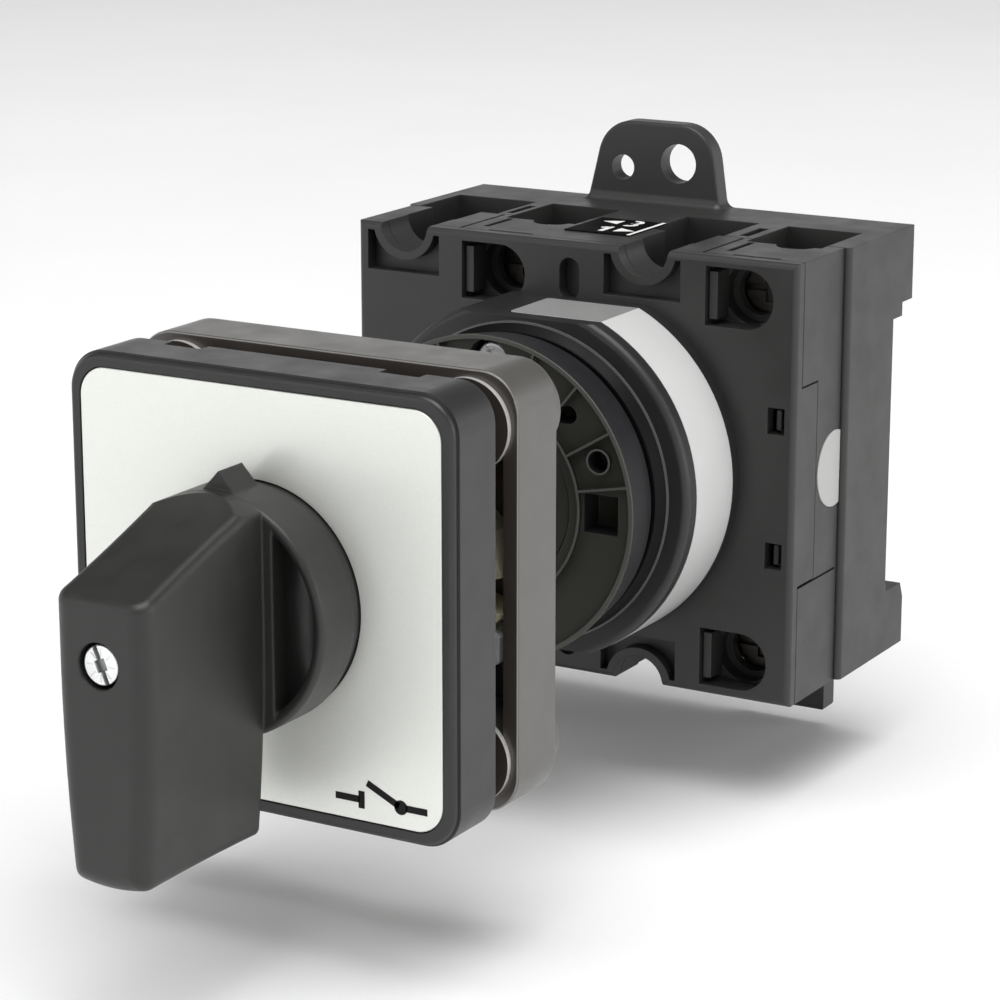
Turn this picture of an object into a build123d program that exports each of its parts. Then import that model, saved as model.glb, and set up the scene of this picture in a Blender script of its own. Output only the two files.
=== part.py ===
from build123d import *
import math
import os

# Rotary isolator switch: a 48 mm door unit with a thumb-grip knob, a square drive shaft,
# and a rail-mounted two-pole switching base. All sizes in millimetres.
#
# Frame: X to the right and Z up as seen from the knob, Y along the switch axis to the rear.
# The origin is on the switch axis, in the base's rear mounting face, so the front is -Y.

# ---- stations along the switch axis, front to rear -------------------------------------
KNOB_FRONT = -128.1
KNOB_LEDGE = -108.4
KNOB_WAIST = (KNOB_FRONT + KNOB_LEDGE) / 2
KNOB_BACK = -102.6
PLATE_FRONT = -100.75
BEZEL_BACK = -92.9
CLAMP_FRONT = -88.15
CLAMP_BACK = -79.85
CAP_FRONT = -54.3
CAP_BACK = -48.2
COLLAR_LIP = -46.85
COLLAR_FRONT = -45.45
COVER_FRONT = -31.95
COVER_BACK = -30.2
HOUSING_BACK = -18.95
RAIL_FLOOR = -5.6
RAIL_SEAT = -2.95
REAR = 0.0

# ---- door unit -------------------------------------------------------------------------
BEZEL = 48.0
BEZEL_CORNER = 4.3
PLATE = 44.6
PLATE_CORNER = 3.2
CLAMP = 47.9
DOOR_HOLE = 22.5
SLEEVE_R = 11.1
COLLAR_STUB_R = 12.5
HUB_R = 7.0
CLAMP_SCREW_AT = 18.1
SHAFT = 6.0

# ---- knob ------------------------------------------------------------------------------
KNOB_R = 13.05
GRIP_HALF = 5.7
GRIP_FOOT = 4.6
GRIP_BOTTOM = -22.9
GRIP_WAIST = 0.25
GRIP_TOP_FRONT = 6.5
GRIP_EDGE = 2.0
POCKET_R = 11.65
POCKET_FROM = 7.05
POCKET_FLOOR = -104.0
POCKET_MOUTH = 0.85
KNOB_SCREW_HOLE_R = 2.43

# ---- base ------------------------------------------------------------------------------
BODY_LEFT = -31.4
BODY_RIGHT = 28.87
BODY_TOP = 26.6
BODY_BOTTOM = -27.2
BODY_X = (BODY_LEFT + BODY_RIGHT) / 2
BODY_Z = (BODY_TOP + BODY_BOTTOM) / 2
REAR_STEP = 0.76
COLLAR_R = 21.87
COLLAR_FLAT = 19.87
CAP_R = 19.45
CAP_BACK_R = 18.55
CHAMBER_R = 14.6
RAIL_HALF = 17.5

# ---- poles: two, side by side, each with a top and a bottom terminal ---------------------
POLE_X = (-11.95, 21.35)
TERMINAL_Z = 21.85
NOTCH_DX = -12.8
NOTCH_R = 3.35
FLANGE_R = 4.4
WINDOW_LEFT = 4.45
WINDOW_R = 3.55
WELL_BACK = -8.95
CAVITY_TOP = 13.9
CAVITY_BOTTOM = -14.5
CAVITY_LEFT = -28.6
CAVITY_RIGHT = 26.1

# ---- contact mechanism -------------------------------------------------------------------
CAM_FRONT = -29.4
CAM_BACK = -20.4
CAM_LOW = 5.6
CAM_TRAVEL = 2.2
CONTACT_Y = -24.2
PAD_FACE = 13.7
BRIDGE_THICK = 1.0

os.makedirs("parts", exist_ok=True)


def write(piece, name):
    """Label a finished piece and write it as one STEP file."""
    piece.part.label = name
    export_step(piece.part, f"parts/{name}.step")


def at(y):
    """Sketch plane across the switch axis at station y, facing the front (-Y)."""
    return Plane.XZ.offset(-y)


def block(x0, x1, y0, y1, z0, z1, mode=Mode.ADD):
    """Box between two corners, inside the current part."""
    with Locations(((x0 + x1) / 2, (y0 + y1) / 2, (z0 + z1) / 2)):
        Box(x1 - x0, y1 - y0, z1 - z0, mode=mode)


def barrel(radius, y0, y1, x=0.0, z=0.0, mode=Mode.ADD):
    """Cylinder along the switch axis between two stations, inside the current part."""
    with Locations(Location((x, (y0 + y1) / 2, z), (90, 0, 0))):
        Cylinder(radius, y1 - y0, mode=mode)


def cone(front_radius, back_radius, y0, y1):
    """Cone along the switch axis between two stations, inside the current part."""
    with Locations(Location((0, (y0 + y1) / 2, 0), (90, 0, 0))):
        Cone(back_radius, front_radius, y1 - y0)


def mirrored_z(z):
    """Height of the bottom feature that answers a top feature at height z."""
    return 2 * BODY_Z - z


# ============================== DOOR UNIT ================================================

# Grip of the knob: gently waisted, straight above and drawn in to a rounded foot below, with
# a slope that runs from its front face up to the skirt.
with BuildPart() as grip:
    for y, spread in ((KNOB_LEDGE, 0.15), (KNOB_WAIST, 0.07 - GRIP_WAIST), (KNOB_FRONT, 0.0)):
        half = GRIP_HALF + spread
        foot = GRIP_FOOT + spread
        with BuildSketch(at(y)) as section:
            with BuildLine():
                Line((-half, 0), (-half, 13.4))
                Line((-half, 13.4), (half, 13.4))
                Line((half, 13.4), (half, 0))
                TangentArc((half, 0), (foot, GRIP_BOTTOM), tangent=(0, -1))
                ThreePointArc((foot, GRIP_BOTTOM), (0, GRIP_BOTTOM - 0.6), (-foot, GRIP_BOTTOM))
                TangentArc((-half, 0), (-foot, GRIP_BOTTOM), tangent=(0, -1))
            make_face()
            fillet(section.vertices().sort_by(Axis.Y)[:2], 1.2)
    loft()
    fillet(grip.faces().sort_by(Axis.Y)[0].edges().sort_by(Axis.Z)[:-1], GRIP_EDGE)
    with BuildSketch(Plane.YZ.offset(-20)):
        with BuildLine():
            Polyline((KNOB_FRONT - 2, GRIP_TOP_FRONT - 0.69), (KNOB_LEDGE + 2, 13.9),
                     (KNOB_LEDGE + 2, 30), (KNOB_FRONT - 2, 30), close=True)
        make_face()
    extrude(amount=40, mode=Mode.SUBTRACT)
    slope = grip.faces().filter_by(lambda face: face.normal_at().Z > 0.9)[0]
    fillet(slope.edges().sort_by(Axis.Y)[:-1], 1.1)
    with BuildSketch(at(KNOB_LEDGE)):
        Rectangle(40, 40, align=(Align.CENTER, Align.MIN))
        Circle(KNOB_R - 0.01, mode=Mode.SUBTRACT)
    extrude(amount=KNOB_LEDGE - KNOB_FRONT, mode=Mode.SUBTRACT)

# Round mouth of the finger pockets: a turned hollow with a rounded rim and bottom edge.
with BuildPart() as pocket_bowl:
    with BuildSketch(Plane.XY):
        with BuildLine():
            Polyline((POCKET_R - 1.0, POCKET_FLOOR), (0, POCKET_FLOOR), (0, KNOB_LEDGE - 0.1),
                     (POCKET_R + POCKET_MOUTH, KNOB_LEDGE - 0.1), (POCKET_R + POCKET_MOUTH, KNOB_LEDGE))
            TangentArc((POCKET_R + POCKET_MOUTH, KNOB_LEDGE), (POCKET_R, KNOB_LEDGE + POCKET_MOUTH),
                       tangent=(-1, 0))
            Line((POCKET_R, KNOB_LEDGE + POCKET_MOUTH), (POCKET_R, POCKET_FLOOR - 1.0))
            TangentArc((POCKET_R, POCKET_FLOOR - 1.0), (POCKET_R - 1.0, POCKET_FLOOR), tangent=(0, 1))
        make_face()
    revolve(axis=Axis.Y)

# Finger pocket on the right: the part of the bowl beyond the rib beside the grip.
with BuildPart() as finger_pocket:
    with BuildSketch(Plane.XY.offset(-14)) as plan:
        with Locations((POCKET_FROM, POCKET_FLOOR)):
            Rectangle(8, 8, align=(Align.MIN, Align.MAX))
        fillet(plan.vertices().sort_by(Axis.X)[:2].sort_by(Axis.Y)[-1], 2.0)
    extrude(amount=28)
    add(pocket_bowl.part, mode=Mode.INTERSECT)

# Knob: the round skirt with a finger pocket each side, the grip and a pointer nub at the top.
with BuildPart() as knob:
    barrel(KNOB_R, KNOB_LEDGE, KNOB_BACK)
    fillet(knob.faces().sort_by(Axis.Y)[0].edges(), 0.5)
    add(finger_pocket.part, mode=Mode.SUBTRACT)
    add(mirror(finger_pocket.part, about=Plane.YZ), mode=Mode.SUBTRACT)
    add(grip.part)
    with BuildSketch(at(KNOB_BACK - 0.6)):
        with BuildLine():
            Polyline((-2.7, 12.1), (0, 15.0), (2.7, 12.1), close=True)
        make_face()
    extrude(amount=4.2)
    barrel(HUB_R, KNOB_BACK, -84.0)
    # square socket for the shaft from behind, screw hole from the front
    block(-SHAFT / 2 - 0.03, SHAFT / 2 + 0.03, -107.0, -83.0, -SHAFT / 2 - 0.03, SHAFT / 2 + 0.03,
          mode=Mode.SUBTRACT)
    barrel(KNOB_SCREW_HOLE_R, KNOB_FRONT - 1, -122.5, mode=Mode.SUBTRACT)
    barrel(1.9, -122.6, -106.9, mode=Mode.SUBTRACT)
write(knob, "knob")

# Zinc cheese-head screw that holds the knob on the shaft: slot, square recess and ticks.
KNOB_SCREW_FRONT = -127.7
with BuildPart() as knob_screw:
    barrel(2.06, KNOB_SCREW_FRONT, -122.6)
    fillet(knob_screw.faces().sort_by(Axis.Y)[0].edges(), 0.15)
    barrel(1.75, -122.7, -99.0)
    with BuildSketch(at(KNOB_SCREW_FRONT + 0.5)):
        Rectangle(5.0, 0.55, rotation=-68)
        Rectangle(1.25, 1.25, rotation=-68)
    extrude(amount=1, mode=Mode.SUBTRACT)
    with BuildSketch(at(KNOB_SCREW_FRONT + 0.08)):
        with PolarLocations(1.3, 8, start_angle=-45.5):
            Rectangle(0.75, 0.09)
    extrude(amount=1, mode=Mode.SUBTRACT)
write(knob_screw, "knob_screw")

# Square 48 mm front frame with a thin lip, a pocket for the face plate and rear notches.
with BuildPart() as bezel_frame:
    with BuildSketch(at(BEZEL_BACK)):
        RectangleRounded(BEZEL, BEZEL, BEZEL_CORNER)
    extrude(amount=BEZEL_BACK - PLATE_FRONT - 0.85)
    with BuildSketch(at(PLATE_FRONT + 1.0)):
        RectangleRounded(BEZEL - 0.5, BEZEL - 0.5, BEZEL_CORNER - 0.2)
    extrude(amount=1.0)
    fillet(bezel_frame.faces().sort_by(Axis.Y)[0].edges(), 0.6)
    with BuildSketch(at(PLATE_FRONT + 1.05)):
        RectangleRounded(PLATE + 0.25, PLATE + 0.25, PLATE_CORNER + 0.1)
    extrude(amount=2, mode=Mode.SUBTRACT)
    with BuildSketch(at(BEZEL_BACK)):
        RectangleRounded(BEZEL - 4.6, BEZEL - 4.6, BEZEL_CORNER - 1.5)
        Circle(17.6, mode=Mode.SUBTRACT)
        with GridLocations(2 * CLAMP_SCREW_AT, 2 * CLAMP_SCREW_AT, 2, 2):
            Circle(3.4, mode=Mode.SUBTRACT)
    extrude(amount=BEZEL_BACK - PLATE_FRONT - 2.6, mode=Mode.SUBTRACT)
    barrel(COLLAR_STUB_R + 0.15, PLATE_FRONT - 1, -98.0, mode=Mode.SUBTRACT)
    barrel(14.3, -98.15, BEZEL_BACK + 1, mode=Mode.SUBTRACT)
    barrel(17.0, -94.4, BEZEL_BACK + 1, mode=Mode.SUBTRACT)
    with BuildSketch(at(BEZEL_BACK)):
        with GridLocations(2 * CLAMP_SCREW_AT, 2 * CLAMP_SCREW_AT, 2, 2):
            Circle(1.65)
    extrude(amount=5.2, mode=Mode.SUBTRACT)
    for x in (-13.5, 13.5):
        for z in (BEZEL / 2, -BEZEL / 2):
            block(x - 2.4, x + 2.4, BEZEL_BACK - 1.5, BEZEL_BACK + 1, z - 1.4, z + 1.4,
                  mode=Mode.SUBTRACT)
write(bezel_frame, "bezel_frame")

# Satin silver face plate, let in flush with the frame's lip.
with BuildPart() as face_plate:
    with BuildSketch(at(PLATE_FRONT + 1.0)):
        RectangleRounded(PLATE, PLATE, PLATE_CORNER)
        Circle(COLLAR_STUB_R + 0.12, mode=Mode.SUBTRACT)
    extrude(amount=1.0)
    chamfer(face_plate.faces().sort_by(Axis.Y)[0].edges(), 0.08)
write(face_plate, "face_plate")

# Bearing sleeve: carries the knob's hub and passes through the door.
with BuildPart() as bearing_sleeve:
    barrel(COLLAR_STUB_R, KNOB_BACK + 0.35, -98.1)
    barrel(14.2, -98.1, -94.45)
    barrel(SLEEVE_R, -94.45, -80.6)
    barrel(HUB_R + 0.05, KNOB_BACK - 1, -79, mode=Mode.SUBTRACT)
write(bearing_sleeve, "bearing_sleeve")

# Flat rubber ring between the front frame and the door.
with BuildPart() as door_seal:
    barrel(16.9, -94.4, BEZEL_BACK)
    barrel(SLEEVE_R + 0.1, -95, BEZEL_BACK + 1, mode=Mode.SUBTRACT)
write(door_seal, "door_seal")

# Rear clamping frame, inside the door: open shell with a rear web and corner bosses.
with BuildPart() as clamp_frame:
    with BuildSketch(at(CLAMP_BACK)):
        RectangleRounded(CLAMP, CLAMP, 4.5)
    extrude(amount=CLAMP_BACK - CLAMP_FRONT)
    fillet(clamp_frame.faces().sort_by(Axis.Y)[0].edges(), 0.25)
    fillet(clamp_frame.faces().sort_by(Axis.Y)[-1].edges(), 0.5)
    with BuildSketch(at(CLAMP_BACK - 1.8)):
        RectangleRounded(CLAMP - 3.6, CLAMP - 3.6, 2.8)
        with GridLocations(2 * CLAMP_SCREW_AT, 2 * CLAMP_SCREW_AT, 2, 2):
            Circle(4.8, mode=Mode.SUBTRACT)
    extrude(amount=CLAMP_BACK - CLAMP_FRONT, mode=Mode.SUBTRACT)
    barrel(SLEEVE_R + 0.08, CLAMP_FRONT - 1, CLAMP_BACK + 1, mode=Mode.SUBTRACT)
    with BuildSketch(at(CLAMP_BACK + 1.7)):
        with GridLocations(2 * CLAMP_SCREW_AT, 2 * CLAMP_SCREW_AT, 2, 2):
            Circle(5.2)
    extrude(amount=1.8)
    with BuildSketch(at(CLAMP_BACK + 2)):
        with GridLocations(2 * CLAMP_SCREW_AT, 2 * CLAMP_SCREW_AT, 2, 2):
            Circle(2.05)
    extrude(amount=20, mode=Mode.SUBTRACT)
write(clamp_frame, "clamp_frame")

# Four zinc clamping screws with a flat pressure disc that bears on the door.
with BuildPart() as clamp_screws:
    for x in (-CLAMP_SCREW_AT, CLAMP_SCREW_AT):
        for z in (-CLAMP_SCREW_AT, CLAMP_SCREW_AT):
            barrel(5.0, CLAMP_FRONT - 0.7, CLAMP_FRONT - 0.02, x, z)
            barrel(2.0, CLAMP_FRONT - 0.1, CLAMP_BACK + 0.8, x, z)
            block(x - 1.7, x + 1.7, CLAMP_BACK, CLAMP_BACK + 1, z - 0.35, z + 0.35,
                  mode=Mode.SUBTRACT)
write(clamp_screws, "clamp_screws")

# Nylon locking cam on the sleeve inside the clamping frame, with two stepped teeth.
LOCK_FRONT = CLAMP_FRONT + 1.9
LOCK_BACK = CLAMP_BACK - 1.8
with BuildPart() as lock_cam:
    barrel(13.4, LOCK_FRONT, LOCK_BACK)
    with BuildSketch(at(LOCK_BACK)):
        with BuildLine():
            Polyline((9, 9.0), (15.5, 9.2), (19.2, 6.0), (20.9, 1.5), (15.6, -0.2), (9, -1), close=True)
        make_face()
        with BuildLine():
            Polyline((9, -1.0), (15.6, -1.2), (20.8, -2.7), (20.0, -3.6), (12, -5.4), close=True)
        make_face()
    extrude(amount=LOCK_BACK - LOCK_FRONT)
    barrel(SLEEVE_R + 0.06, LOCK_FRONT - 1, LOCK_BACK + 1, mode=Mode.SUBTRACT)
write(lock_cam, "lock_cam")

# White wear pad that the locking cam's lower tooth stops against.
with BuildPart() as lock_pad:
    block(16.4, 20.6, LOCK_FRONT, LOCK_BACK, -8.2, -4.6)
    chamfer(lock_pad.edges().filter_by(Axis.Y).sort_by(Axis.X)[-2:], 0.5)
write(lock_pad, "lock_pad")

# ============================== DRIVE ====================================================

SHAFT_REAR = -35.5
HEX_END = -34.6
ROTOR_FRONT = -38.3
with BuildPart() as shaft:
    block(-SHAFT / 2, SHAFT / 2, -106.8, SHAFT_REAR, -SHAFT / 2, SHAFT / 2)
    chamfer(shaft.edges().filter_by(Axis.Y), 0.35)
    barrel(1.78, -107, -98.0, mode=Mode.SUBTRACT)
write(shaft, "shaft")

# Coupling cup that takes the shaft and drives the cam rotor through a hexagon.
COUPLING_R = 10.6
with BuildPart() as drive_coupling:
    barrel(COUPLING_R, CAP_FRONT + 1.0, CAP_FRONT + 5.4)
    barrel(6.6, CAP_FRONT + 5.4, -42.6)
    with BuildSketch(at(HEX_END)):
        RegularPolygon(4.9, 6)
    extrude(amount=HEX_END + 42.7)
    for turn in range(4):
        angle = math.radians(45 + 90 * turn)
        barrel(1.1, CAP_FRONT, CAP_FRONT + 3.4, 7.6 * math.cos(angle), 7.6 * math.sin(angle),
               mode=Mode.SUBTRACT)
    block(-SHAFT / 2 - 0.04, SHAFT / 2 + 0.04, CAP_FRONT - 1, -34, -SHAFT / 2 - 0.04, SHAFT / 2 + 0.04,
          mode=Mode.SUBTRACT)
write(drive_coupling, "drive_coupling")

# Four-lobed detent wheel in the collar, keyed on the coupling's hexagon.
DETENT_FRONT = -42.3
DETENT_BACK = -38.6
LOBE_R = 9.2
NOTCH_DEPTH = 0.8
with BuildPart() as detent_wheel:
    barrel(LOBE_R, DETENT_FRONT, DETENT_BACK)
    with BuildSketch(at(DETENT_BACK)):
        with PolarLocations(LOBE_R + 1.9 - NOTCH_DEPTH, 4):
            Circle(1.9)
        RegularPolygon(4.94, 6)
    extrude(amount=DETENT_BACK - DETENT_FRONT, mode=Mode.SUBTRACT)
write(detent_wheel, "detent_wheel")

# Sprung detent plungers, one each side, with a rounded nose towards the wheel.
PLUNGER_NOSE = LOBE_R + 0.1
PLUNGER_END = PLUNGER_NOSE + 3.0
for side, side_name in ((-1, "left"), (1, "right")):
    with BuildPart() as detent_plunger:
        barrel(1.5, DETENT_FRONT + 0.4, DETENT_BACK - 0.4, side * (PLUNGER_NOSE + 1.5))
        near, far = sorted((side * (PLUNGER_NOSE + 1.5), side * PLUNGER_END))
        block(near, far, DETENT_FRONT + 0.4, DETENT_BACK - 0.4, -1.5, 1.5)
    write(detent_plunger, f"detent_plunger_{side_name}")

    with BuildPart() as detent_spring:
        with BuildLine() as coil:
            Helix(0.55, 1.7, 0.95, direction=(side, 0, 0),
                  center=(side * (PLUNGER_END + 0.22), (DETENT_FRONT + DETENT_BACK) / 2, 0))
        with BuildSketch(Plane(origin=coil.line @ 0, z_dir=coil.line % 0)):
            Circle(0.17)
        sweep(path=coil.line, is_frenet=True)
    write(detent_spring, f"detent_spring_{side_name}")

# Cam rotor: front spigot with the hexagon socket, one cam with two equal rises, rear stub.
with BuildPart() as cam_rotor:
    barrel(6.4, ROTOR_FRONT, CAM_FRONT)
    with BuildSketch(at(CAM_BACK)):
        quarter = [math.radians(step * 11.25) for step in range(9)]
        rise = [CAM_LOW + CAM_TRAVEL * angle / (math.pi / 2) for angle in quarter]
        with BuildLine():
            for sx, sz in ((1, 1), (-1, 1), (-1, -1), (1, -1)):
                Spline(*[(sx * r * math.cos(a), sz * r * math.sin(a)) for r, a in zip(rise, quarter)])
        make_face()
    extrude(amount=CAM_BACK - CAM_FRONT)
    barrel(5.2, CAM_BACK, -9.2)
    barrel(3.95, -9.2, -7.0)
    with BuildSketch(at(HEX_END + 0.1)):
        RegularPolygon(4.94, 6)
    extrude(amount=5, mode=Mode.SUBTRACT)
write(cam_rotor, "cam_rotor")

# ============================== COLLAR ===================================================


def collar_outline(grow=0.0):
    """Circle with a top and a bottom flat, in the current sketch."""
    Circle(COLLAR_R + grow)
    for sign in (-1, 1):
        with Locations((0, sign * (COLLAR_FLAT + grow + 10))):
            Rectangle(80, 20, mode=Mode.SUBTRACT)


BAND_FRONT = -43.2
BAND_BACK = -33.9
BAND_DEEP = 0.3
BAND_PROUD = 0.05
BAND_END = -3.2

# Grey wrap-around band, let into the collar from the middle of the top flat round the
# right-hand side to the middle of the bottom flat.
with BuildPart() as collar_band:
    with BuildSketch(at(BAND_BACK)):
        collar_outline(BAND_PROUD)
        with BuildSketch(at(BAND_BACK), mode=Mode.SUBTRACT):
            collar_outline(-BAND_DEEP)
        with Locations((BAND_END - 20, 0)):
            Rectangle(40, 80, mode=Mode.SUBTRACT)
    extrude(amount=BAND_BACK - BAND_FRONT)
    fillet(collar_band.edges().filter_by(Axis.Z)
           .filter_by_position(Axis.X, BAND_END - 0.1, BAND_END + 0.1), 0.6)
write(collar_band, "collar_band")

# Round collar on the front of the base: it houses the detent.
with BuildPart() as collar:
    barrel(COLLAR_R, COLLAR_FRONT, COVER_FRONT)
    fillet(collar.faces().sort_by(Axis.Y)[0].edges(), 0.9)
    for sign in (-1, 1):
        flat, out = sorted((sign * COLLAR_FLAT, sign * 40))
        block(-40, 40, COLLAR_FRONT - 1, COVER_FRONT + 1, flat, out, mode=Mode.SUBTRACT)
    cone(18.4, 19.3, COLLAR_LIP, COLLAR_FRONT)
    fillet(collar.faces().sort_by(Axis.Y)[0].edges(), 0.2)
    barrel(19.42, COLLAR_FRONT - 0.15, COLLAR_FRONT)
    with BuildSketch(at(BAND_BACK)):
        collar_outline(1.0)
        with BuildSketch(at(BAND_BACK), mode=Mode.SUBTRACT):
            collar_outline(-BAND_DEEP)
        with Locations((BAND_END - 20.05, 0)):
            Rectangle(40, 80, mode=Mode.SUBTRACT)
    extrude(amount=BAND_BACK - BAND_FRONT, mode=Mode.SUBTRACT)
    barrel(CHAMBER_R, COLLAR_LIP - 1, COVER_FRONT - 3.0, mode=Mode.SUBTRACT)
    for side in (-1, 1):
        near, far = sorted((side * 10.2, side * CHAMBER_R))
        for z0, z1 in ((1.8, 3.2), (-3.2, -1.8)):
            block(near, far, DETENT_FRONT, COVER_FRONT - 2.5, z0, z1)
    barrel(6.45, COLLAR_LIP - 1, COVER_FRONT + 1, mode=Mode.SUBTRACT)
    for sign in (-1, 1):
        barrel(0.95, COLLAR_LIP - 1, COLLAR_FRONT + 6, 0, sign * 16.2, mode=Mode.SUBTRACT)
write(collar, "collar")

# Front cap of the collar: a shallow tapered dish with a thin rim and an inner ring. Thin ribs divide
# its upper part, where it has square pockets, ringed bosses and slots; its foot is smooth.
CAP_FLOOR = CAP_FRONT + 0.7
RING_R = 12.5
with BuildPart() as collar_cap:
    cone(CAP_R, CAP_BACK_R, CAP_FRONT, CAP_BACK)
    fillet(collar_cap.faces().sort_by(Axis.Y)[0].edges(), 0.12)
    barrel(17.7, CAP_BACK, COLLAR_LIP)
    barrel(CHAMBER_R - 0.05, COLLAR_LIP, -44.4)
    with BuildSketch(at(CAP_FLOOR)):
        Circle(CAP_R - 0.6)
        Circle(RING_R, mode=Mode.SUBTRACT)
        with PolarLocations(15.9, 9, start_angle=11.25, angular_range=157.5, endpoint=True):
            Rectangle(7.2, 0.28, mode=Mode.SUBTRACT)
        for side in (-1, 1):
            with Locations((side * 14.85, 6.25)):
                Circle(1.52, mode=Mode.SUBTRACT)
    extrude(amount=2, mode=Mode.SUBTRACT)
    barrel(RING_R - 0.3, CAP_FRONT - 1, CAP_FLOOR, mode=Mode.SUBTRACT)
    barrel(COUPLING_R + 0.2, CAP_FRONT, CAP_FRONT + 5.7, mode=Mode.SUBTRACT)
    barrel(6.7, CAP_FRONT, -44, mode=Mode.SUBTRACT)
    for side in (-1, 1):
        barrel(1.3, CAP_FRONT - 1, CAP_FRONT + 3.2, side * 14.85, 6.25, mode=Mode.SUBTRACT)
        near, far = sorted((side * 12.75, side * 17.15))
        block(near, far, CAP_FRONT - 1, CAP_FRONT + 4.2, -2.35, 2.25, mode=Mode.SUBTRACT)
        with BuildSketch(at(CAP_FRONT + 4.2)):
            with Locations((side * 9.7, 11.1)):
                SlotOverall(4.0, 2.1)
        extrude(amount=5, mode=Mode.SUBTRACT)
    for sign in (-1, 1):
        barrel(2.6, CAP_FRONT - 1, CAP_FRONT + 3.4, 0, sign * 16.2, mode=Mode.SUBTRACT)
        barrel(1.15, CAP_FRONT + 3, COLLAR_LIP + 1, 0, sign * 16.2, mode=Mode.SUBTRACT)
write(collar_cap, "collar_cap")

# Two zinc screws that hold cap and collar.
with BuildPart() as cap_screws:
    for sign in (-1, 1):
        barrel(2.1, CAP_FRONT + 1.7, CAP_FRONT + 3.4, 0, sign * 16.2)
        barrel(0.9, CAP_FRONT + 3.3, COLLAR_FRONT + 5.5, 0, sign * 16.2)
    fillet(cap_screws.faces().filter_by(Axis.Y).sort_by(Axis.Y)[:2].edges(), 0.4)
    for sign in (-1, 1):
        with BuildSketch(at(CAP_FRONT + 2.5)):
            with Locations((0, sign * 16.2)):
                Rectangle(2.6, 0.55, rotation=20)
                Rectangle(0.55, 2.6, rotation=20)
        extrude(amount=2, mode=Mode.SUBTRACT)
write(cap_screws, "cap_screws")

# ============================== BASE HOUSINGS ============================================

SKIRT_TOP = 11.6
SKIRT_BOTTOM = -12.5
SKIRT_BACK = -25.8
SKIRT_THICK = 1.3
SNAP_Z = (7.75, -8.7)
SNAP_IN = 2.45
JOIN_X = -1.9
JOIN_Z = 21.9


def both_ends(z):
    """A height at the top terminals and its mirror at the bottom terminals."""
    return z, mirrored_z(z)


# Front cover with terminal windows, half-round notches, snap windows and side skirts.
with BuildPart() as contact_cover:
    block(BODY_LEFT, BODY_RIGHT, COVER_FRONT, COVER_BACK, BODY_BOTTOM, BODY_TOP)
    fillet(contact_cover.faces().sort_by(Axis.Y)[0].edges(), 0.7)
    for x in (BODY_LEFT, BODY_RIGHT - SKIRT_THICK):
        block(x, x + SKIRT_THICK, COVER_FRONT + 0.8, SKIRT_BACK, SKIRT_BOTTOM, SKIRT_TOP)
    barrel(7.2, COVER_FRONT - 1, COVER_BACK + 1, mode=Mode.SUBTRACT)
    with BuildSketch(at(COVER_BACK + 0.5)):
        for pole in POLE_X:
            notch = pole + NOTCH_DX
            for z in both_ends(TERMINAL_Z):
                with Locations((pole + WINDOW_LEFT - WINDOW_R, z)):
                    Circle(WINDOW_R)
                with Locations((pole - WINDOW_R / 2, z)):
                    Rectangle(2 * WINDOW_LEFT - WINDOW_R, 2 * WINDOW_R)
            for end, z in zip((BODY_TOP, BODY_BOTTOM), both_ends(23.15)):
                with Locations((notch - 0.1, z)):
                    Rectangle(10.3, 4.95)
                with Locations((notch, end)):
                    Circle(FLANGE_R, mode=Mode.SUBTRACT)
                    Circle(NOTCH_R)
        for z in both_ends(22.1):
            with Locations((BODY_X - 0.1, z)):
                SlotOverall(5.05, 2.74, rotation=90)
        for x in (BODY_LEFT + SNAP_IN, BODY_RIGHT - SNAP_IN):
            for z in SNAP_Z:
                with Locations((x, z)):
                    Rectangle(2.2, 3.2)
    extrude(amount=3, mode=Mode.SUBTRACT)
write(contact_cover, "contact_cover")

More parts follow.
